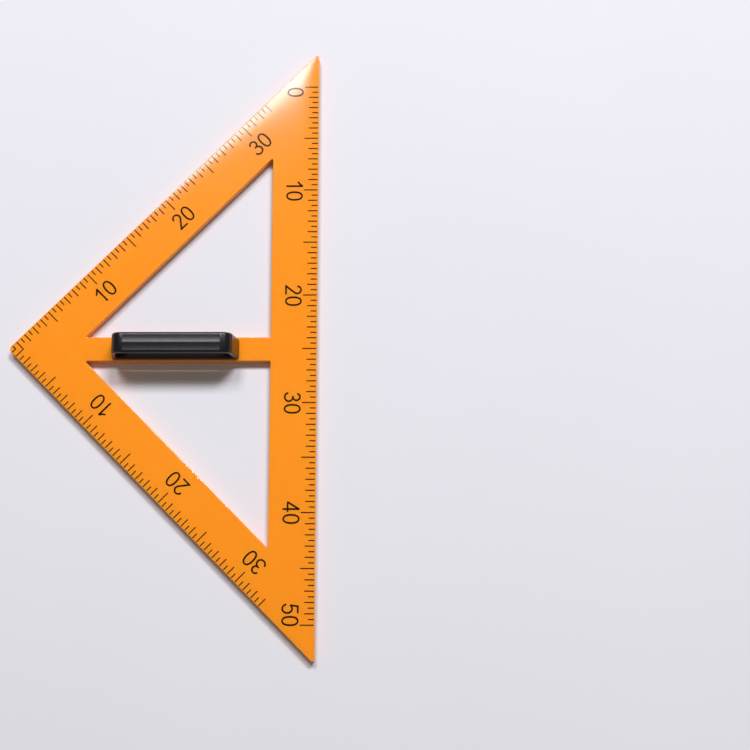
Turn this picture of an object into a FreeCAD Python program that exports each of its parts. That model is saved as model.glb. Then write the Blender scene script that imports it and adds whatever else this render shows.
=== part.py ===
import FreeCAD, Part

import math
import os

import Sketcher

# A teacher's 45-degree set square for a blackboard: an orange plate with two windows,
# a black bridge handle on the bar between them, and two screws from the back.
#
# The row frame: the plate lies on its back on z = 0, +X points from the right-angle corner
# to the hypotenuse, +Y runs along the hypotenuse and +Z is up. All lengths are millimetres.

Vector = FreeCAD.Vector

# Driving dimensions: plain numbers, in millimetres and degrees.
DIMENSIONS = (
    # plate
    ("leg_length", 402.0),
    ("band_width", 42.5),
    ("crossbar_width", 22.0),
    ("plate_thickness", 10.0),
    ("square_corner_radius", 4.0),
    ("sharp_corner_radius", 2.0),
    ("window_corner_radius", 1.0),
    ("plate_top_radius", 0.7),
    ("plate_back_radius", 0.4),
    # handle
    ("handle_from_corner", 154.5),
    ("handle_length", 117.0),
    ("handle_width", 19.2),
    ("handle_height", 34.0),
    ("handle_lean", 8.0),
    ("handle_bend_radius", 9.0),
    ("handle_edge_radius", 2.3),
    ("foot_thickness", 3.8),
    ("base_strip_height", 2.0),
    ("grip_thickness", 4.0),
    ("slot_top_radius", 6.0),
    ("slot_base_radius", 1.5),
    ("slot_edge_radius", 0.8),
    ("flute_length", 88.0),
    ("flute_width", 6.8),
    ("flute_depth", 0.25),
    ("flute_ridge", 0.7),
    ("boss_diameter", 8.0),
    ("boss_height", 9.5),
    # fixings
    ("screw_spacing", 101.0),
    ("screw_sink", 0.2),
    ("screw_length", 16.8),
    ("screw_head_diameter", 7.0),
    ("screw_head_rim", 0.3),
    ("screw_shank_diameter", 3.5),
    ("screw_shank_length", 9.4),
    ("screw_core_diameter", 2.84),
    ("screw_tip_length", 3.0),
    ("recess_length", 4.0),
    ("recess_width", 1.1),
    ("recess_depth", 1.6),
    ("clearance_hole_diameter", 3.8),
    ("head_clearance", 0.1),
    ("pilot_hole_diameter", 2.9),
    ("pilot_hole_depth", 8.0),
)

GEOMETRY_TOLERANCE = 1e-4
LEVEL_TOLERANCE = 1e-3
# How far from a corner an edge may lie and still be picked as that corner's, in millimetres.
PICK_MARGIN = 1.0
# A fillet starts at this radius and gets its real one from the sheet.
FIRST_RADIUS = 0.5


def fill_sheet(doc):
    """The spreadsheet that drives every size."""
    sheet = doc.addObject("Spreadsheet::Sheet", "Sheet")
    for row, (name, value) in enumerate(DIMENSIONS, start=1):
        sheet.set("A%d" % row, name)
        sheet.set("B%d" % row, "%g" % value)
        sheet.setAlias("B%d" % row, name)
    doc.recompute()
    return sheet


def new_body(doc, label):
    body = doc.addObject("PartDesign::Body", label)
    body.Label = label
    return body


def origin_feature(body, role):
    for feature in body.Origin.OriginFeatures:
        if feature.Role == role:
            return feature
    raise RuntimeError("no origin feature " + role)


def new_sketch(body, name, plane):
    sketch = body.newObject("Sketcher::SketchObject", name)
    sketch.AttachmentSupport = [(origin_feature(body, plane), "")]
    sketch.MapMode = "FlatFace"
    return sketch


def add_outline(sketch, points):
    """A closed outline of straight lines through rough points; returns the lines' numbers."""
    lines = []
    for index, (x, y) in enumerate(points):
        next_x, next_y = points[(index + 1) % len(points)]
        segment = Part.LineSegment(Vector(x, y, 0), Vector(next_x, next_y, 0))
        lines.append(sketch.addGeometry(segment, False))
    for index, line in enumerate(lines):
        follower = lines[(index + 1) % len(lines)]
        sketch.addConstraint(Sketcher.Constraint("Coincident", line, 2, follower, 1))
    return lines


def place_point(sketch, line, end, name, x_formula, y_formula):
    """Fix one end of a line at a place given by two formulas on the sheet's cells."""
    for kind, axis, formula in (("DistanceX", "x", x_formula), ("DistanceY", "y", y_formula)):
        if formula == "0":
            helper_axis = -2 if axis == "x" else -1
            sketch.addConstraint(Sketcher.Constraint("PointOnObject", line, end, helper_axis))
            continue
        point = sketch.getPoint(line, end)
        rough = point.x if axis == "x" else point.y
        number = sketch.addConstraint(Sketcher.Constraint(kind, -1, 1, line, end, rough))
        constraint_name = "%s_%s" % (name, axis)
        sketch.renameConstraint(number, constraint_name)
        sketch.setExpression("Constraints." + constraint_name, formula)


def outline_sketch(body, name, plane, corners):
    """A sketch of one closed outline; each corner is (name, x, y, x formula, y formula)."""
    sketch = new_sketch(body, name, plane)
    lines = add_outline(sketch, [(x, y) for _, x, y, _, _ in corners])
    for line, (corner, _, _, x_formula, y_formula) in zip(lines, corners):
        place_point(sketch, line, 1, corner, x_formula, y_formula)
    return sketch


def circles_sketch(body, name, plane, centre_formulas, diameter_formula, rough):
    """Equal circles on the sketch's own X axis."""
    sketch = new_sketch(body, name, plane)
    for index, (rough_x, formula) in enumerate(centre_formulas):
        circle = sketch.addGeometry(Part.Circle(Vector(rough_x, 0, 0), Vector(0, 0, 1), rough), False)
        place_point(sketch, circle, 3, "centre_%s" % "ab"[index], formula, "0")
        number = sketch.addConstraint(Sketcher.Constraint("Diameter", circle, 2 * rough))
        size_name = "diameter_%s" % "ab"[index]
        sketch.renameConstraint(number, size_name)
        sketch.setExpression("Constraints." + size_name, diameter_formula)
    return sketch


def add_feature(body, kind, name, profile, **settings):
    feature = body.newObject("PartDesign::" + kind, name)
    feature.Profile = profile
    for key, value in settings.items():
        setattr(feature, key, value)
    return feature


def edge_names(shape, test):
    return ["Edge%d" % number for number, edge in enumerate(shape.Edges, start=1) if test(edge)]


def add_fillet(body, name, base, test, radius_formula):
    """Round the edges of base that pass a test on their geometry."""
    names = edge_names(base.Shape, test)
    if not names:
        raise RuntimeError("no edges for " + name)
    fillet = body.newObject("PartDesign::Fillet", name)
    fillet.Base = (base, names)
    fillet.Radius = FIRST_RADIUS
    fillet.setExpression("Radius", radius_formula)
    body.Document.recompute()
    if not fillet.Shape.isValid() or abs(fillet.Shape.Volume - base.Shape.Volume) < GEOMETRY_TOLERANCE:
        raise RuntimeError("fillet %s did nothing" % name)
    return fillet


def is_along(edge, direction):
    """True for a straight edge that runs along a direction."""
    if not isinstance(edge.Curve, Part.Line):
        return False
    return abs(abs(edge.Curve.Direction.dot(direction)) - 1.0) < GEOMETRY_TOLERANCE


def lies_at(edge, axis, level):
    """True if the whole edge lies in one plane across an axis (0, 1 or 2)."""
    low = (edge.BoundBox.XMin, edge.BoundBox.YMin, edge.BoundBox.ZMin)[axis]
    high = (edge.BoundBox.XMax, edge.BoundBox.YMax, edge.BoundBox.ZMax)[axis]
    return abs(low - level) < LEVEL_TOLERANCE and abs(high - level) < LEVEL_TOLERANCE


def must_cut(feature, base):
    """A pocket that points away from the solid shows no error, so the volumes are compared."""
    feature.Document.recompute()
    if feature.Shape.Volume > base.Shape.Volume - GEOMETRY_TOLERANCE:
        raise RuntimeError("%s cuts nothing" % feature.Name)


ALTITUDE = "Sheet.leg_length*sqrt(2)/2"
MIDDLE = "(%s + Sheet.square_corner_radius*(sqrt(2) - 1))/2" % ALTITUDE
HANDLE_AT = "Sheet.handle_from_corner - " + MIDDLE
SCREW_REACH = "Sheet.screw_spacing/2"


def make_plate(doc, sheet):
    """The square itself. Its own frame has the sharp right-angle corner at the origin."""
    body = new_body(doc, "plate")
    altitude = sheet.leg_length * math.sqrt(0.5)
    half_bar = sheet.crossbar_width / 2
    outline = outline_sketch(body, "plate_outline", "XY_Plane", (
        ("corner", 0, 0, "0", "0"),
        ("lower_tip", altitude, -altitude, ALTITUDE, "-" + ALTITUDE),
        ("upper_tip", altitude, altitude, ALTITUDE, ALTITUDE),
    ))
    slab = add_feature(body, "Pad", "slab", outline)
    slab.setExpression("Length", "Sheet.plate_thickness")
    doc.recompute()

    # one window, between a leg, the hypotenuse and the crossbar
    inner_x = altitude - sheet.band_width
    tip_x = sheet.band_width * math.sqrt(2) + half_bar
    inner_formula = ALTITUDE + " - Sheet.band_width"
    window = outline_sketch(body, "window_outline", "XY_Plane", (
        ("tip", tip_x, half_bar,
         "Sheet.band_width*sqrt(2) + Sheet.crossbar_width/2", "Sheet.crossbar_width/2"),
        ("square_corner", inner_x, half_bar, inner_formula, "Sheet.crossbar_width/2"),
        ("apex", inner_x, inner_x - sheet.band_width * math.sqrt(2),
         inner_formula, inner_formula + " - Sheet.band_width*sqrt(2)"),
    ))
    cut = add_feature(body, "Pocket", "window", window, Type="ThroughAll", Reversed=True)
    must_cut(cut, slab)
    mirrored = body.newObject("PartDesign::Mirrored", "second_window")
    mirrored.Originals = [cut]
    mirrored.MirrorPlane = (origin_feature(body, "XZ_Plane"), [""])
    body.Tip = mirrored
    must_cut(mirrored, cut)

    upright = Vector(0, 0, 1)
    inside = altitude - sheet.band_width + PICK_MARGIN

    def at_square_corner(edge):
        return is_along(edge, upright) and edge.BoundBox.XMax < PICK_MARGIN

    def at_sharp_tip(edge):
        return is_along(edge, upright) and edge.BoundBox.XMin > altitude - PICK_MARGIN

    def at_window(edge):
        past_corner = edge.BoundBox.XMin > sheet.square_corner_radius + PICK_MARGIN
        return is_along(edge, upright) and past_corner and edge.BoundBox.XMin < inside

    rounded = add_fillet(body, "square_corner", mirrored, at_square_corner, "Sheet.square_corner_radius")
    rounded = add_fillet(body, "sharp_tips", rounded, at_sharp_tip, "Sheet.sharp_corner_radius")
    rounded = add_fillet(body, "window_corners", rounded, at_window, "Sheet.window_corner_radius")
    rounded = add_fillet(body, "top_rounding", rounded,
                         lambda edge: lies_at(edge, 2, sheet.plate_thickness), "Sheet.plate_top_radius")
    rounded = add_fillet(body, "back_rounding", rounded,
                         lambda edge: lies_at(edge, 2, 0.0), "Sheet.plate_back_radius")

    # screw holes, countersunk from the back: a revolved cut and its mirror about the handle's middle
    head = sheet.screw_head_diameter / 2 + sheet.head_clearance
    bore = sheet.clearance_hole_diameter / 2
    rim = sheet.screw_sink + sheet.screw_head_rim
    centre = sheet.handle_from_corner
    head_formula = "(Sheet.screw_head_diameter/2 + Sheet.head_clearance)"
    bore_formula = "Sheet.clearance_hole_diameter/2"
    rim_formula = "Sheet.screw_sink + Sheet.screw_head_rim"
    for side, sign, sign_text in (("a", -1, "-"), ("b", 1, "+")):
        axis_x = centre + sign * sheet.screw_spacing / 2
        axis_formula = "Sheet.handle_from_corner %s %s" % (sign_text, SCREW_REACH)
        profile = outline_sketch(body, "hole_profile_" + side, "XZ_Plane", (
            ("axis_low", axis_x, 0, axis_formula, "0"),
            ("head_low", axis_x + head, 0, axis_formula + " + " + head_formula, "0"),
            ("head_high", axis_x + head, rim, axis_formula + " + " + head_formula, rim_formula),
            ("cone_top", axis_x + bore, rim + head - bore, axis_formula + " + " + bore_formula,
             "%s + %s - %s" % (rim_formula, head_formula, bore_formula)),
            ("bore_high", axis_x + bore, sheet.plate_thickness,
             axis_formula + " + " + bore_formula, "Sheet.plate_thickness"),
            ("axis_high", axis_x, sheet.plate_thickness, axis_formula, "Sheet.plate_thickness"),
        ))
        base = body.Tip
        hole = add_feature(body, "Groove", "hole_" + side, profile)
        hole.ReferenceAxis = (profile, ["Edge6"])
        hole.Angle = 360.0
        must_cut(hole, base)
        body.Tip = hole
    body.setExpression("Placement.Base.x", "-" + MIDDLE)
    return body


def make_handle(doc, sheet):
    """The bridge handle. Its own frame has the middle of its foot at the origin."""
    body = new_body(doc, "handle")
    half_length = sheet.handle_length / 2
    half_width = sheet.handle_width / 2
    slope = math.tan(math.radians(sheet.handle_lean))
    height = sheet.handle_height
    slope_formula = "tan(Sheet.handle_lean)"
    half_formula = "Sheet.handle_length/2"

    block_outline = outline_sketch(body, "side_outline", "XZ_Plane", (
        ("foot_left", -half_length, 0, "-" + half_formula, "0"),
        ("foot_right", half_length, 0, half_formula, "0"),
        ("top_right", half_length - height * slope, height,
         "%s - Sheet.handle_height*%s" % (half_formula, slope_formula), "Sheet.handle_height"),
        ("top_left", height * slope - half_length, height,
         "Sheet.handle_height*%s - %s" % (slope_formula, half_formula), "Sheet.handle_height"),
    ))
    block = add_feature(body, "Pad", "block", block_outline, Midplane=True)
    block.setExpression("Length", "Sheet.handle_width")
    doc.recompute()

    across = Vector(0, 1, 0)

    def at_bend(edge):
        return is_along(edge, across) and edge.BoundBox.ZMin > height - PICK_MARGIN

    bent = add_fillet(body, "bends", block, at_bend, "Sheet.handle_bend_radius")

    # the finger slot between the grip, the two feet and the base strip
    inner = half_length - sheet.foot_thickness
    slot_low = sheet.base_strip_height
    slot_high = height - sheet.grip_thickness
    inner_formula = "(Sheet.handle_length/2 - Sheet.foot_thickness)"
    low_formula = "%s - Sheet.base_strip_height*%s" % (inner_formula, slope_formula)
    high_formula = "%s - (Sheet.handle_height - Sheet.grip_thickness)*%s" % (inner_formula, slope_formula)
    slot_top_formula = "Sheet.handle_height - Sheet.grip_thickness"
    slot_outline = outline_sketch(body, "slot_outline", "XZ_Plane", (
        ("low_left", slot_low * slope - inner, slot_low, "-(%s)" % low_formula, "Sheet.base_strip_height"),
        ("low_right", inner - slot_low * slope, slot_low, low_formula, "Sheet.base_strip_height"),
        ("high_right", inner - slot_high * slope, slot_high, high_formula, slot_top_formula),
        ("high_left", slot_high * slope - inner, slot_high, "-(%s)" % high_formula, slot_top_formula),
    ))
    slot = add_feature(body, "Pocket", "finger_slot", slot_outline, Type="Length", Midplane=True)
    slot.setExpression("Length", "Sheet.handle_width*2")
    must_cut(slot, bent)

    def at_slot_roof(edge):
        return is_along(edge, across) and lies_at(edge, 2, slot_high)

    def at_slot_floor(edge):
        return is_along(edge, across) and lies_at(edge, 2, slot_low)

    shaped = add_fillet(body, "slot_roof", slot, at_slot_roof, "Sheet.slot_top_radius")
    shaped = add_fillet(body, "slot_floor", shaped, at_slot_floor, "Sheet.slot_base_radius")

    # the long outer edges, rounded in one run up a foot, over the bend and along the grip
    def on_side(edge):
        return lies_at(edge, 1, half_width) or lies_at(edge, 1, -half_width)

    def on_outside(edge):
        leg_line = on_side(edge) and edge.BoundBox.ZMin < GEOMETRY_TOLERANCE
        return leg_line and abs(edge.BoundBox.Center.x) > inner

    def on_slot(edge):
        box = edge.BoundBox
        within_length = box.XMin > -inner and box.XMax < inner
        within_height = box.ZMin > slot_low - PICK_MARGIN and box.ZMax < slot_high + PICK_MARGIN
        return on_side(edge) and within_length and within_height

    shaped = add_fillet(body, "outer_edges", shaped, on_outside, "Sheet.handle_edge_radius")
    shaped = add_fillet(body, "slot_edges", shaped, on_slot, "Sheet.slot_edge_radius")

    # two shallow flutes along the top of the grip, cut by a large cylinder each side of a ridge
    flute_radius = (sheet.flute_width ** 2 / 4 + sheet.flute_depth ** 2) / (2 * sheet.flute_depth)
    flute_circle = new_sketch(body, "flute_circle", "YZ_Plane")
    centre = Vector((sheet.flute_width + sheet.flute_ridge) / 2, height + flute_radius - sheet.flute_depth, 0)
    circle = flute_circle.addGeometry(Part.Circle(centre, Vector(0, 0, 1), flute_radius), False)
    radius_formula = "(Sheet.flute_width^2/4 + Sheet.flute_depth^2)/(2*Sheet.flute_depth)"
    place_point(flute_circle, circle, 3, "centre", "(Sheet.flute_width + Sheet.flute_ridge)/2",
                "Sheet.handle_height - Sheet.flute_depth + " + radius_formula)
    number = flute_circle.addConstraint(Sketcher.Constraint("Radius", circle, flute_radius))
    flute_circle.renameConstraint(number, "radius")
    flute_circle.setExpression("Constraints.radius", radius_formula)
    flute = add_feature(body, "Pocket", "flute", flute_circle, Type="Length", Midplane=True)
    flute.setExpression("Length", "Sheet.flute_length")
    must_cut(flute, shaped)
    mirrored = body.newObject("PartDesign::Mirrored", "second_flute")
    mirrored.Originals = [flute]
    mirrored.MirrorPlane = (origin_feature(body, "XZ_Plane"), [""])
    body.Tip = mirrored
    must_cut(mirrored, flute)

    # a low round boss inside each foot, with the pilot hole for a screw
    reach = sheet.screw_spacing / 2
    centres = ((-reach, "-" + SCREW_REACH), (reach, SCREW_REACH))
    boss_circles = circles_sketch(body, "boss_circles", "XY_Plane", centres,
                                  "Sheet.boss_diameter", sheet.boss_diameter / 2)
    bosses = add_feature(body, "Pad", "bosses", boss_circles)
    bosses.setExpression("Length", "Sheet.boss_height")
    pilot_circles = circles_sketch(body, "pilot_circles", "XY_Plane", centres,
                                   "Sheet.pilot_hole_diameter", sheet.pilot_hole_diameter / 2)
    pilots = add_feature(body, "Pocket", "pilot_holes", pilot_circles, Type="Length", Reversed=True)
    pilots.setExpression("Length", "Sheet.pilot_hole_depth")
    must_cut(pilots, bosses)
    body.setExpression("Placement.Base.x", HANDLE_AT)
    body.setExpression("Placement.Base.z", "Sheet.plate_thickness")
    return body


def make_screw(doc, sheet, label, side):
    """A countersunk self-tapping screw, head down. Its own frame has the head's face at z = 0.

    side is "-" for the screw on the corner's side of the handle's middle, and "+" for the other.
    """
    body = new_body(doc, label)
    head = sheet.screw_head_diameter / 2
    shank = sheet.screw_shank_diameter / 2
    core = sheet.screw_core_diameter / 2
    rim = sheet.screw_head_rim
    step = sheet.screw_shank_length
    tip = sheet.screw_length - sheet.screw_tip_length
    head_formula = "Sheet.screw_head_diameter/2"
    shank_formula = "Sheet.screw_shank_diameter/2"
    core_formula = "Sheet.screw_core_diameter/2"
    neck_formula = "Sheet.screw_head_rim + %s - %s" % (head_formula, shank_formula)
    step_formula = "Sheet.screw_shank_length + %s - %s" % (shank_formula, core_formula)
    profile = outline_sketch(body, "profile_of_" + label, "XZ_Plane", (
        ("head_centre", 0, 0, "0", "0"),
        ("head_edge", head, 0, head_formula, "0"),
        ("head_rim", head, rim, head_formula, "Sheet.screw_head_rim"),
        ("neck", shank, rim + head - shank, shank_formula, neck_formula),
        ("shank_end", shank, step, shank_formula, "Sheet.screw_shank_length"),
        ("core_start", core, step + shank - core, core_formula, step_formula),
        ("core_end", core, tip, core_formula, "Sheet.screw_length - Sheet.screw_tip_length"),
        ("point", 0, sheet.screw_length, "0", "Sheet.screw_length"),
    ))
    turned = add_feature(body, "Revolution", "turned_" + label, profile)
    turned.ReferenceAxis = (profile, ["V_Axis"])
    turned.Angle = 360.0
    doc.recompute()

    # the cross recess: two slots through the middle of the head
    base = turned
    sizes = ("Sheet.recess_length/2", "Sheet.recess_width/2")
    rough_sizes = (sheet.recess_length / 2, sheet.recess_width / 2)
    for name, along, across in (("slot_x", 0, 1), ("slot_y", 1, 0)):
        half_x = rough_sizes[along]
        half_y = rough_sizes[across]
        outline = outline_sketch(body, "%s_of_%s" % (name, label), "XY_Plane", (
            ("low_left", -half_x, -half_y, "-" + sizes[along], "-" + sizes[across]),
            ("low_right", half_x, -half_y, sizes[along], "-" + sizes[across]),
            ("high_right", half_x, half_y, sizes[along], sizes[across]),
            ("high_left", -half_x, half_y, "-" + sizes[along], sizes[across]),
        ))
        slot = add_feature(body, "Pocket", "%s_in_%s" % (name, label), outline,
                           Type="Length", Reversed=True)
        slot.setExpression("Length", "Sheet.recess_depth")
        must_cut(slot, base)
        base = slot
    body.setExpression("Placement.Base.x", "%s %s %s" % (HANDLE_AT, side, SCREW_REACH))
    body.setExpression("Placement.Base.z", "Sheet.screw_sink")
    return body


def write_parts(doc, bodies):
    for item in doc.Objects:
        if "Invalid" in item.State or "Error" in item.State:
            raise RuntimeError("%s is %s" % (item.Name, item.State))
    os.makedirs("parts", exist_ok=True)
    for body in bodies:
        shape = body.Shape
        if shape.isNull() or not shape.isValid():
            raise RuntimeError("bad shape: " + body.Label)
        box = shape.optimalBoundingBox()
        print("%-22s solids %d volume %10.1f  x %8.2f %8.2f  y %8.2f %8.2f  z %6.2f %6.2f" % (
            body.Label, len(shape.Solids), shape.Volume, box.XMin, box.XMax, box.YMin, box.YMax,
            box.ZMin, box.ZMax))
        shape.exportStep("parts/%s.step" % body.Label)


def main():
    doc = FreeCAD.newDocument("set_square")
    sheet = fill_sheet(doc)
    bodies = [
        make_plate(doc, sheet),
        make_handle(doc, sheet),
        make_screw(doc, sheet, "corner_side_screw", "-"),
        make_screw(doc, sheet, "hypotenuse_side_screw", "+"),
    ]
    doc.recompute()
    write_parts(doc, bodies)


main()
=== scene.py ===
import math

import bmesh
import bpy
from mathutils import Euler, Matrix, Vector
from mathutils.geometry import delaunay_2d_cdt


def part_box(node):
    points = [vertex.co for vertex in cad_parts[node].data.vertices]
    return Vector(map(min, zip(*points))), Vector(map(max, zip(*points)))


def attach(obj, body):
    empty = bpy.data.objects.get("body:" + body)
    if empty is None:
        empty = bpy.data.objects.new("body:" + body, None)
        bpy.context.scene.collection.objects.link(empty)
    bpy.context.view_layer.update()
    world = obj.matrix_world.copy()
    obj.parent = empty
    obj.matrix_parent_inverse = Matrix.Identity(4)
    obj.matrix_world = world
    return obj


# A teacher's 45-degree set square. The CAD's orange plate, black bridge handle and two screws get
# their materials here, and the printed scales are added as thin ink on the plate's top face.
# Everything is in metres and in the CAD's frame, except where a comment says otherwise.

MM = 0.001
MM_PER_CM = 10
DIAGONAL = math.sqrt(0.5)

# The plate's right-angle corner is rounded by this radius. The leg scales start at the sharp corner.
CORNER_ROUNDING = 4.0 * MM

# Printed scales: a mark every half centimetre, numbered from zero. The marks next to the square
# corner meet the other leg's marks, as chevrons.
MARK_STEP = 5.0 * MM
MARK_WIDTH = 1.0 * MM
MARK_START = 0.75 * MM
HALF_CM_LENGTH = 6.2 * MM
CM_LENGTH = 9.5 * MM
FIVE_CM_LENGTH = 13.4 * MM
MARKS_PER_CM = 2
MARKS_PER_FIVE_CM = 10
HYPOTENUSE_ZERO_Y = 250.5 * MM
HYPOTENUSE_LAST_MARK = 100
LEG_LAST_MARK = 66
LEG_CHEVRONS = 2

# The ink stands this far above the plate's top, and is closed this far below it.
INK_HEIGHT = 0.04 * MM
INK_DEPTH = 0.02 * MM
# The marks' corners are rounded to this many decimals of a metre, so that corners that meet coincide.
INK_DIGITS = 7
INK_MERGE_DISTANCE = 1e-7

# Numerals are drawn with a pen in a cell of this size; from here to SAME_POINT it is all in millimetres,
# degrees or plain counts. The pen is half this wide across stems and half that high across bars.
NUMERAL_WIDTH = 9.0
NUMERAL_HEIGHT = 15.4
NUMERAL_PITCH = 10.7
STEM_HALF = 0.83
BAR_HALF = 0.76
ARC_STEP = 7.5
BOW_STEPS = 8
OVAL_STEPS = 48
OVAL_POWER = 2.3
SAME_POINT = 1e-9

# Where a numeral starts, in millimetres along the scale from its own mark. The two at the ends of the
# hypotenuse are moved towards its middle.
NUMERAL_SHIFT = -9.4
HYPOTENUSE_END_SHIFTS = {0: 0.5, 50: -18.8}
HYPOTENUSE_NUMERALS = range(0, 60, 10)
LEG_NUMERALS = (10, 20, 30)

# From a scale's edge to the top of its numerals.
HYPOTENUSE_NUMERAL_TOP = 14.35 * MM
UPPER_NUMERAL_TOP = 16.6 * MM
LOWER_NUMERAL_TOP = 17.3 * MM

# A Mix node's colour sockets share their names with its number sockets, so they go by their places.
MIX_FACTOR, MIX_FIRST, MIX_SECOND = 0, 6, 7
MIX_RESULT = 2

# Materials: each colour runs between two tints, and each roughness from its lowest to its highest.
# Noise rarely leaves this range, which is mapped to the whole span.
NOISE_RANGE = (0.3, 0.7)
PLATE_TINTS = ((0.975, 0.304, 0.010), (0.990, 0.319, 0.013))
PLATE_ROUGHNESS = (0.11, 0.13)
PLATE_WAVE_HEIGHT = 0.10 * MM
PLATE_GRAIN_HEIGHT = 0.001 * MM
HANDLE_TINTS = ((0.0030, 0.0028, 0.0034), (0.0055, 0.0052, 0.0060))
HANDLE_ROUGHNESS = (0.20, 0.26)
HANDLE_GRAIN_HEIGHT = 0.05 * MM
SCREW_TINTS = ((0.52, 0.52, 0.50), (0.66, 0.66, 0.64))
SCREW_ROUGHNESS = (0.25, 0.38)
SCREW_RING_HEIGHT = 0.01 * MM
INK_TINTS = ((0.014, 0.0030, 0.0014), (0.022, 0.0050, 0.0022))
INK_ROUGHNESS = (0.10, 0.13)
INK_RELIEF_HEIGHT = 0.001 * MM
FLOOR_TINTS = ((0.705, 0.712, 0.718), (0.717, 0.724, 0.730))
FLOOR_ROUGHNESS = (0.85, 0.95)
FLOOR_RELIEF_HEIGHT = 0.01 * MM

# The plate's top rolls off a little towards its outer edges, as a cooled moulding does.
EDGE_ROLL_DROP = 0.41 * MM
EDGE_ROLL_WIDTH = 6.0 * MM

# The handle's top is slightly round across, highest a little beyond its middle. Its fluted part is
# duller than the bends, to this far from the handle's middle.
CROWN_RADIUS = 80.0 * MM
CROWN_RIDGE_Y = 2.6 * MM
TEXTURED_REACH = 44.0 * MM
TEXTURED_EXTRA_ROUGHNESS = 0.10

# Stage: a floor just under the plate, light panels overhead, and a dim warm surround.
FLOOR_SIZE = 30.0
FLOOR_SEGMENTS = 4
FLOOR_DROP = 0.2 * MM
PANEL_HEIGHT = 4.4
PANEL_COLOUR = (0.93, 0.93, 1.03)
PANELS = (
    # name, span in x, span in y, radiance
    ("left_softbox", (-1.20, -0.118), (1.776, 3.25), 28.0),
    ("right_softbox", (0.60, 2.20), (2.08, 3.12), 44.0),
)
SURROUND_COLOUR = (1.12, 1.0, 0.88)
SURROUND_STRENGTH = 0.18

# The camera's turn is in degrees, its lens in millimetres and its shift in widths of the frame.
CAMERA_PLACE = (0.2151, -0.2950, 1.5679)
CAMERA_TURN = (10.599, 1.993, 0.357)
CAMERA_LENS = 83.39
CAMERA_SHIFT = (0.0515, -0.0295)
CAMERA_REACH = 40.0


# ---------------------------------------------------------------- numerals


def arc(centre, radii, start, end):
    """Points on an ellipse from one angle to another, in degrees."""
    steps = max(2, round(abs(end - start) / ARC_STEP))
    angles = [math.radians(start + (end - start) * k / steps) for k in range(steps + 1)]
    return [(centre[0] + radii[0] * math.cos(a), centre[1] + radii[1] * math.sin(a)) for a in angles]


def bowl(middle, half_width, low, high, start, end):
    """An arc of the upright ellipse that reaches from low to high."""
    return arc((middle, (high + low) / 2), (half_width, (high - low) / 2), start, end)


def bow(start, control, end):
    """Points on a quadratic curve."""
    points = []
    for k in range(BOW_STEPS + 1):
        t = k / BOW_STEPS
        weights = ((1 - t) ** 2, 2 * t * (1 - t), t ** 2)
        corners = list(zip(weights, (start, control, end)))
        points.append(tuple(sum(weight * corner[i] for weight, corner in corners) for i in (0, 1)))
    return points


def oval(centre, radii):
    """Points on a closed oval with slightly squared shoulders."""
    points = []
    for k in range(OVAL_STEPS + 1):
        a = 2 * math.pi * k / OVAL_STEPS
        x = math.copysign(abs(math.cos(a)) ** (2 / OVAL_POWER), math.cos(a))
        y = math.copysign(abs(math.sin(a)) ** (2 / OVAL_POWER), math.sin(a))
        points.append((centre[0] + radii[0] * x, centre[1] + radii[1] * y))
    return points


def digit_strokes(digit):
    """The pen's paths for one digit, as lists of points in its cell."""
    top = NUMERAL_HEIGHT - BAR_HALF
    middle = (NUMERAL_WIDTH / 2, NUMERAL_HEIGHT / 2)
    if digit == "0":
        return [oval(middle, (middle[0] - STEM_HALF, top - middle[1]))]
    if digit == "1":
        stem = [(5.75, 0.0), (5.75, NUMERAL_HEIGHT)]
        return [stem, bow((1.3, 10.8), (3.9, 12.0), (5.6, 15.2))]
    if digit == "2":
        bowl_height = 11.05
        head = arc((middle[0], bowl_height), (3.4, top - bowl_height), 176, -36)
        base = [(0.0, BAR_HALF), (8.8, BAR_HALF)]
        return [head, [head[-1], (1.3, 1.3)], base]
    if digit == "3":
        waist = 8.2
        upper = bowl(4.3, 3.1, 8.25, top, 168, -90)
        lower = bowl(4.35, 3.85, BAR_HALF, waist, 90, -172)
        return [upper, lower, [(3.2, waist), (4.4, waist)]]
    if digit == "4":
        stem = [(6.3, 0.0), (6.3, NUMERAL_HEIGHT)]
        crossing = [(-0.5, 4.55), (8.9, 4.55)]
        return [stem, crossing, [(0.15, 4.9), (6.2, 14.6)]]
    if digit == "5":
        belly = bowl(4.35, 3.8, BAR_HALF, 9.6, 142, -170)
        return [belly, [(1.3, 7.6), (2.2, 15.0)], [(1.6, top), (8.3, top)]]
    raise ValueError(digit)


def sweep_pen(path):
    """Quads along a path, drawn with a pen that is a little wider across than it is high."""
    closed = math.dist(path[0], path[-1]) < SAME_POINT
    sides = []
    for index, point in enumerate(path):
        before = path[max(index - 1, 0)]
        after = path[min(index + 1, len(path) - 1)]
        if closed and index in (0, len(path) - 1):
            before, after = path[-2], path[1]
        run = math.dist(before, after)
        normal = ((before[1] - after[1]) / run, (after[0] - before[0]) / run)
        half = math.hypot(STEM_HALF * normal[0], BAR_HALF * normal[1])
        left = (point[0] + half * normal[0], point[1] + half * normal[1])
        right = (point[0] - half * normal[0], point[1] - half * normal[1])
        sides.append((left, right))
    return [(b[0], a[0], a[1], b[1]) for a, b in zip(sides, sides[1:])]


def numeral(text, place, reading, up):
    """Polygons of a numeral whose first cell's top left corner is at place."""
    polygons = []
    for index, digit in enumerate(text):
        for stroke in digit_strokes(digit):
            for quad in sweep_pen(stroke):
                polygons.append([
                    place + reading * ((x + index * NUMERAL_PITCH) * MM) + up * ((y - NUMERAL_HEIGHT) * MM)
                    for x, y in quad
                ])
    return polygons


# ---------------------------------------------------------------- scales


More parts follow.
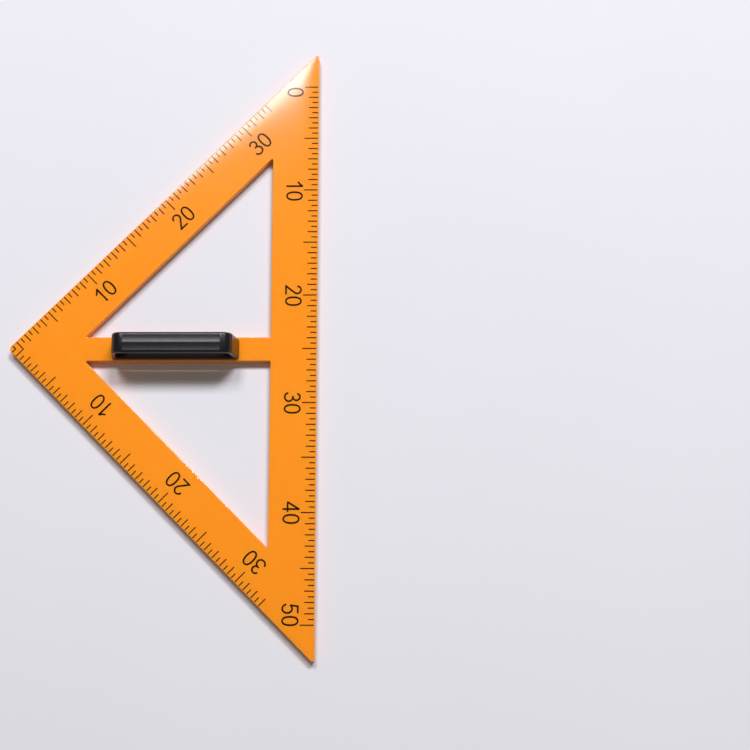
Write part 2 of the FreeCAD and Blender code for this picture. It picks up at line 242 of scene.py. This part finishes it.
def bar(start, direction, length):
    """A straight mark as one polygon."""
    side = Vector((-direction.y, direction.x)) * (MARK_WIDTH / 2)
    end = start + direction * length
    return [start - side, end - side, end + side, start + side]


def mark_length(number):
    """Half centimetres are short, centimetres longer and every fifth centimetre the longest."""
    if number % MARKS_PER_FIVE_CM == 0:
        return FIVE_CM_LENGTH
    if number % MARKS_PER_CM == 0:
        return CM_LENGTH
    return HALF_CM_LENGTH


def marks(zero, along, inward, first, last):
    """The marks of one scale, from the first number to the last."""
    polygons = []
    for number in range(first, last + 1):
        start = zero + along * (MARK_STEP * number) + inward * MARK_START
        polygons.append(bar(start, inward, mark_length(number) - MARK_START))
    return polygons


def chevrons(zero, along, inward):
    """Near the corner a mark runs only until it meets the mark of the other leg."""
    polygons = []
    for number in range(1, LEG_CHEVRONS + 1):
        start = zero + along * (MARK_STEP * number) + inward * MARK_START
        polygons.append(bar(start, inward, MARK_STEP * number + MARK_WIDTH / 2 - MARK_START))
    return polygons


def hypotenuse_ink(edge_x):
    """Polygons of the hypotenuse's scale, whose edge is at edge_x."""
    zero = Vector((edge_x, HYPOTENUSE_ZERO_Y))
    along = Vector((0, -1))
    inward = Vector((-1, 0))
    polygons = marks(zero, along, inward, 0, HYPOTENUSE_LAST_MARK)
    for centimetres in HYPOTENUSE_NUMERALS:
        shift = HYPOTENUSE_END_SHIFTS.get(centimetres, NUMERAL_SHIFT)
        place = zero + along * ((MM_PER_CM * centimetres + shift) * MM) + inward * HYPOTENUSE_NUMERAL_TOP
        polygons += numeral(str(centimetres), place, along, -inward)
    return polygons


def leg_ink(corner):
    """Polygons of both legs' scales, which start at the plate's sharp corner."""
    polygons = []
    for side, numeral_top in ((1, UPPER_NUMERAL_TOP), (-1, LOWER_NUMERAL_TOP)):
        along = Vector((DIAGONAL, side * DIAGONAL))
        inward = Vector((DIAGONAL, -side * DIAGONAL))
        reading = along * side
        polygons += chevrons(corner, along, inward)
        polygons += marks(corner, along, inward, LEG_CHEVRONS + 1, LEG_LAST_MARK)
        for centimetres in LEG_NUMERALS:
            place = corner + along * (MM_PER_CM * centimetres * MM) + reading * (NUMERAL_SHIFT * MM)
            polygons += numeral(str(centimetres), place + inward * numeral_top, reading, -inward)
    return polygons


def merge_polygons(polygons):
    """The union of the polygons, as flat points and anticlockwise faces."""
    points = []
    corner_lists = []
    for polygon in polygons:
        corner_lists.append(list(range(len(points), len(points) + len(polygon))))
        points += [Vector([round(value, INK_DIGITS) for value in point]) for point in polygon]
    merged = delaunay_2d_cdt(points, [], corner_lists, 0, INK_MERGE_DISTANCE)
    flat_points, _, flat_faces, _, _, sources = merged
    return flat_points, [face for face, source in zip(flat_faces, sources) if source]


def thicken(points, faces, low, high):
    """Vertices and faces of the closed slab between two levels, in the same order every time."""
    used = sorted({number for face in faces for number in face})
    below = {number: place for place, number in enumerate(used)}
    above = {number: place + len(used) for number, place in below.items()}
    vertices = [(points[number].x, points[number].y, level) for level in (low, high) for number in used]
    edge_lists = [list(zip(face, face[1:] + face[:1])) for face in faces]
    edges = {edge for edge_list in edge_lists for edge in edge_list}
    slab = [[below[number] for number in reversed(face)] for face in faces]
    slab += [[above[number] for number in face] for face in faces]
    for edge_list in edge_lists:
        for start, end in edge_list:
            if (end, start) not in edges:
                slab.append([below[start], below[end], above[end], above[start]])
    return vertices, slab


def ink_piece(name, polygons, level, material):
    """One closed thin mesh of the union of the polygons, standing just proud of the plate."""
    points, faces = merge_polygons(polygons)
    vertices, slab = thicken(points, faces, level - INK_DEPTH, level + INK_HEIGHT)
    mesh = bpy.data.meshes.new(name)
    mesh.from_pydata(vertices, [], slab)
    mesh.materials.append(material)
    piece = bpy.data.objects.new(name, mesh)
    bpy.context.scene.collection.objects.link(piece)
    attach(piece, "root")


# ---------------------------------------------------------------- materials


class Recipe:
    """A small helper for building one node material."""

    def __init__(self, name):
        self.material = bpy.data.materials.new(name)
        self.material.use_nodes = True
        self.tree = self.material.node_tree
        self.shader = self.tree.nodes["Principled BSDF"]
        self.place = self.node("ShaderNodeTexCoord").outputs["Object"]

    def node(self, kind, **settings):
        """A new node with these attributes set."""
        made = self.tree.nodes.new(kind)
        for key, value in settings.items():
            setattr(made, key, value)
        return made

    def link(self, source, target):
        self.tree.links.new(source, target)

    def coordinate(self, axis):
        split = self.node("ShaderNodeSeparateXYZ")
        self.link(self.place, split.inputs[0])
        return split.outputs[axis]

    def noise(self, scale, detail=2.0, roughness=0.5, stretch=None):
        """Soft noise with about this many cells per metre."""
        made = self.node("ShaderNodeTexNoise")
        made.inputs["Scale"].default_value = scale
        made.inputs["Detail"].default_value = detail
        made.inputs["Roughness"].default_value = roughness
        place = self.place
        if stretch:
            mapping = self.node("ShaderNodeMapping")
            mapping.inputs["Scale"].default_value = stretch
            self.link(place, mapping.inputs["Vector"])
            place = mapping.outputs["Vector"]
        self.link(place, made.inputs["Vector"])
        return made.outputs["Fac"]

    def spread(self, noise, span=(0.0, 1.0)):
        """Maps the noise's usual range to a span."""
        made = self.node("ShaderNodeMapRange")
        made.inputs["From Min"].default_value = NOISE_RANGE[0]
        made.inputs["From Max"].default_value = NOISE_RANGE[1]
        made.inputs["To Min"].default_value = span[0]
        made.inputs["To Max"].default_value = span[1]
        self.link(noise, made.inputs["Value"])
        return made.outputs["Result"]

    def mottle(self, noise, tints):
        """A colour that runs between two tints."""
        made = self.node("ShaderNodeMix", data_type="RGBA")
        made.inputs[MIX_FIRST].default_value = (*tints[0], 1.0)
        made.inputs[MIX_SECOND].default_value = (*tints[1], 1.0)
        self.link(self.spread(noise), made.inputs[MIX_FACTOR])
        return made.outputs[MIX_RESULT]

    def calculate(self, operation, *operands):
        """A math node; each operand is a socket or a number."""
        made = self.node("ShaderNodeMath", operation=operation)
        for target, operand in zip(made.inputs, operands):
            if isinstance(operand, bpy.types.NodeSocket):
                self.link(operand, target)
            else:
                target.default_value = operand
        return made.outputs["Value"]

    def within(self, middle, reach):
        """One where X is within reach of the middle, and zero beyond."""
        off_middle = self.calculate("SUBTRACT", self.coordinate("X"), middle)
        return self.calculate("LESS_THAN", self.calculate("ABSOLUTE", off_middle), reach)

    def bump(self, height, distance, below=None):
        """A bump on top of another one, if there is one below."""
        made = self.node("ShaderNodeBump")
        made.inputs["Distance"].default_value = distance
        self.link(height, made.inputs["Height"])
        if below:
            self.link(below, made.inputs["Normal"])
        return made.outputs["Normal"]

    def edge_roll(self, edges):
        """Bump that rolls the surface off towards straight edges, each (outward direction, offset)."""
        height = 0.0
        for outward, offset in edges:
            dot = self.node("ShaderNodeVectorMath", operation="DOT_PRODUCT")
            dot.inputs[1].default_value = (outward.x, outward.y, 0.0)
            self.link(self.place, dot.inputs[0])
            past_edge = self.calculate("SUBTRACT", dot.outputs["Value"], offset)
            widths_past = self.calculate("DIVIDE", past_edge, EDGE_ROLL_WIDTH)
            fall = self.calculate("POWER", math.e, widths_past)
            height = self.calculate("SUBTRACT", height, fall)
        return self.bump(height, EDGE_ROLL_DROP)

    def crown(self):
        """Bump that makes the surface slightly round across Y; its height is in metres already."""
        off_ridge = self.calculate("SUBTRACT", self.coordinate("Y"), CROWN_RIDGE_Y)
        squared = self.calculate("POWER", off_ridge, 2.0)
        rise = self.calculate("DIVIDE", squared, -2.0 * CROWN_RADIUS)
        return self.bump(rise, distance=1.0)

    def finish(self, colour, roughness, normal, **fixed):
        """Links the three varying inputs and sets the others, named with underscores for spaces."""
        self.link(colour, self.shader.inputs["Base Color"])
        self.link(roughness, self.shader.inputs["Roughness"])
        self.link(normal, self.shader.inputs["Normal"])
        for name, value in fixed.items():
            self.shader.inputs[name.replace("_", " ")].default_value = value
        return self.material


def plate_plastic(edges):
    """Glossy, faintly translucent orange plastic, very slightly wavy, as a large moulding is."""
    recipe = Recipe("plate_plastic_look")
    colour = recipe.mottle(recipe.noise(scale=7.0, detail=3.0), PLATE_TINTS)
    rub = recipe.noise(scale=160.0, detail=4.0, roughness=0.6)
    roll = recipe.edge_roll(edges)
    waves = recipe.bump(recipe.noise(scale=11.0, detail=1.0), PLATE_WAVE_HEIGHT, below=roll)
    grain = recipe.bump(recipe.noise(scale=1400.0), PLATE_GRAIN_HEIGHT, below=waves)
    return recipe.finish(
        colour,
        recipe.spread(rub, PLATE_ROUGHNESS),
        grain,
        Specular_IOR_Level=0.34,
        Coat_Weight=0.20,
        Coat_Roughness=0.04,
        Subsurface_Weight=0.6,
        Subsurface_Radius=(1.0, 0.22, 0.04),
        Subsurface_Scale=8.0 * MM,
    )


def handle_plastic(middle):
    """Black moulded plastic, glossy at the bends and duller along the fluted grip."""
    recipe = Recipe("handle_plastic_look")
    streaks = recipe.noise(scale=60.0, detail=5.0, roughness=0.65, stretch=(0.35, 1.0, 1.0))
    colour = recipe.mottle(streaks, HANDLE_TINTS)
    rub = recipe.noise(scale=240.0, detail=4.0, roughness=0.6)
    textured = recipe.within(middle, TEXTURED_REACH)
    extra = recipe.calculate("MULTIPLY", textured, TEXTURED_EXTRA_ROUGHNESS)
    roughness = recipe.calculate("ADD", recipe.spread(rub, HANDLE_ROUGHNESS), extra)
    grain_noise = recipe.noise(scale=1800.0, detail=3.0, roughness=0.6)
    grain = recipe.bump(grain_noise, HANDLE_GRAIN_HEIGHT, below=recipe.crown())
    return recipe.finish(colour, roughness, grain, Specular_IOR_Level=0.5)


def screw_steel():
    """Bright zinc with turned rings and a cloudy plating."""
    recipe = Recipe("screw_steel_look")
    colour = recipe.mottle(recipe.noise(scale=420.0, detail=3.0), SCREW_TINTS)
    roughness = recipe.spread(recipe.noise(scale=900.0, detail=3.0), SCREW_ROUGHNESS)
    rings = recipe.noise(scale=2600.0, stretch=(0.3, 0.3, 3.0))
    return recipe.finish(colour, roughness, recipe.bump(rings, SCREW_RING_HEIGHT), Metallic=1.0)


def scale_ink(edges):
    """Printed ink, near black with a brown cast, as a slightly uneven film that follows the plate."""
    recipe = Recipe("scale_ink_look")
    colour = recipe.mottle(recipe.noise(scale=500.0, detail=4.0, roughness=0.6), INK_TINTS)
    roughness = recipe.spread(recipe.noise(scale=900.0, detail=3.0), INK_ROUGHNESS)
    film = recipe.noise(scale=2200.0)
    relief = recipe.bump(film, INK_RELIEF_HEIGHT, below=recipe.edge_roll(edges))
    return recipe.finish(colour, roughness, relief, Specular_IOR_Level=0.16)


def floor_paint():
    """Plain matt paint in a pale cool grey."""
    recipe = Recipe("floor_look")
    colour = recipe.mottle(recipe.noise(scale=3.0), FLOOR_TINTS)
    roughness = recipe.spread(recipe.noise(scale=30.0), FLOOR_ROUGHNESS)
    relief = recipe.bump(recipe.noise(scale=400.0), FLOOR_RELIEF_HEIGHT)
    return recipe.finish(colour, roughness, relief)


# ---------------------------------------------------------------- stage


def add_floor(level, material):
    mesh_tool = bmesh.new()
    bmesh.ops.create_grid(
        mesh_tool, x_segments=FLOOR_SEGMENTS, y_segments=FLOOR_SEGMENTS, size=FLOOR_SIZE / 2
    )
    mesh = bpy.data.meshes.new("floor")
    mesh_tool.to_mesh(mesh)
    mesh_tool.free()
    mesh.materials.append(material)
    floor = bpy.data.objects.new("floor", mesh)
    floor.location.z = level
    bpy.context.scene.collection.objects.link(floor)


def add_panel(name, span_x, span_y, radiance):
    """A soft light panel that faces straight down, given by the spans it covers."""
    width = span_x[1] - span_x[0]
    depth = span_y[1] - span_y[0]
    light = bpy.data.lights.new(name, "AREA")
    light.shape = "RECTANGLE"
    light.size = width
    light.size_y = depth
    light.energy = radiance * math.pi * width * depth
    light.color = PANEL_COLOUR
    lamp = bpy.data.objects.new(name, light)
    lamp.location = (sum(span_x) / 2, sum(span_y) / 2, PANEL_HEIGHT)
    bpy.context.scene.collection.objects.link(lamp)


def add_surround():
    world = bpy.data.worlds.new("studio")
    world.use_nodes = True
    background = world.node_tree.nodes["Background"]
    background.inputs["Color"].default_value = (*SURROUND_COLOUR, 1.0)
    background.inputs["Strength"].default_value = SURROUND_STRENGTH
    bpy.context.scene.world = world


def add_camera():
    lens = bpy.data.cameras.new("camera")
    lens.lens = CAMERA_LENS
    lens.shift_x, lens.shift_y = CAMERA_SHIFT
    lens.clip_end = CAMERA_REACH
    camera = bpy.data.objects.new("camera", lens)
    camera.location = CAMERA_PLACE
    camera.rotation_euler = Euler([math.radians(angle) for angle in CAMERA_TURN])
    bpy.context.scene.collection.objects.link(camera)
    bpy.context.scene.camera = camera


def add_stage(plate_back):
    """Everything around the set square, whose flat back is at this height."""
    add_floor(plate_back - FLOOR_DROP, floor_paint())
    for name, span_x, span_y, radiance in PANELS:
        add_panel(name, span_x, span_y, radiance)
    add_surround()
    add_camera()
    bpy.context.scene.view_settings.view_transform = "Standard"


# ---------------------------------------------------------------- the set square


def find_outer_edges(plate_high, corner):
    """The plate's outer edges, each as its outward direction and its distance along that."""
    edges = [(Vector((1.0, 0.0)), plate_high.x)]
    for side in (1, -1):
        outward = Vector((-DIAGONAL, side * DIAGONAL))
        edges.append((outward, corner.dot(outward)))
    return edges


def dress_pieces(nodes, looks):
    """Gives each CAD piece its material."""
    for name, look in looks.items():
        for material_slot in nodes[name].material_slots:
            material_slot.material = look


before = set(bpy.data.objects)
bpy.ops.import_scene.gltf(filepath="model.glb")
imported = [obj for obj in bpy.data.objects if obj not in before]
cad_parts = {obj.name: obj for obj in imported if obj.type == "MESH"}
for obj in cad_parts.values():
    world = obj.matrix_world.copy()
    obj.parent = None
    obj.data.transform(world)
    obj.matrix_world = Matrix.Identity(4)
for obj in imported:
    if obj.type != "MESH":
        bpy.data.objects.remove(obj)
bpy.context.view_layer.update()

plate_low, plate_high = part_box("plate")
handle_low, handle_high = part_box("handle")
sharp_corner = Vector((plate_low.x - CORNER_ROUNDING * (math.sqrt(2) - 1), 0.0))
outer_edges = find_outer_edges(plate_high, sharp_corner)

screw_look = screw_steel()
dress_pieces(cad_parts, {
    "plate": plate_plastic(outer_edges),
    "handle": handle_plastic((handle_low.x + handle_high.x) / 2),
    "corner_side_screw": screw_look,
    "hypotenuse_side_screw": screw_look,
})

ink = scale_ink(outer_edges)
ink_piece("hypotenuse_scale", hypotenuse_ink(plate_high.x), plate_high.z, ink)
ink_piece("leg_scales", leg_ink(sharp_corner), plate_high.z, ink)

add_stage(plate_low.z)
